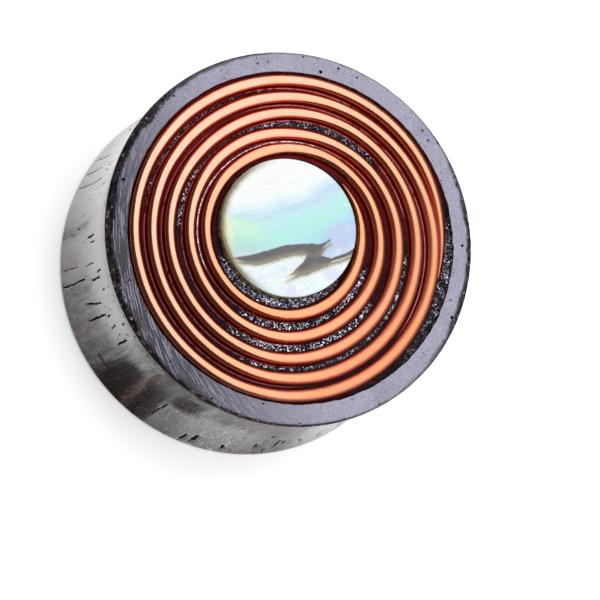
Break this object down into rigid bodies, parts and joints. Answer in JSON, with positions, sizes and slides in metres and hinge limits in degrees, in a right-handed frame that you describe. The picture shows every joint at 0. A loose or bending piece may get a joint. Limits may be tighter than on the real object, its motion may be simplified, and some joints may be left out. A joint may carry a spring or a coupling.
{
  "type": "ear gauge plug",
  "caption": "Double-flared saddle ear plug of dark wood, its front face inlaid with a flat spiral of copper wire and an abalone shell disc in black resin.",
  "frame": {"origin": "middle of the flat back face, on the plug's axis", "axes": "+Z along the plug's axis, out of the inlaid front face; the shell disc sits a little towards -X of the axis"},
  "size_m": [0.0262, 0.0262, 0.0138],
  "materials": {
    "dark_wood": "polished, satin on the end grain",
    "black_resin": "glossy and lumpy",
    "copper_wire": null,
    "abalone_shell": "polished mother-of-pearl"
  },
  "bodies": {
    "root": {"wood_body": "dark_wood", "resin_bed": "black_resin", "copper_coil": "copper_wire", "shell_disc": "abalone_shell"}
  },
  "joints": []
}
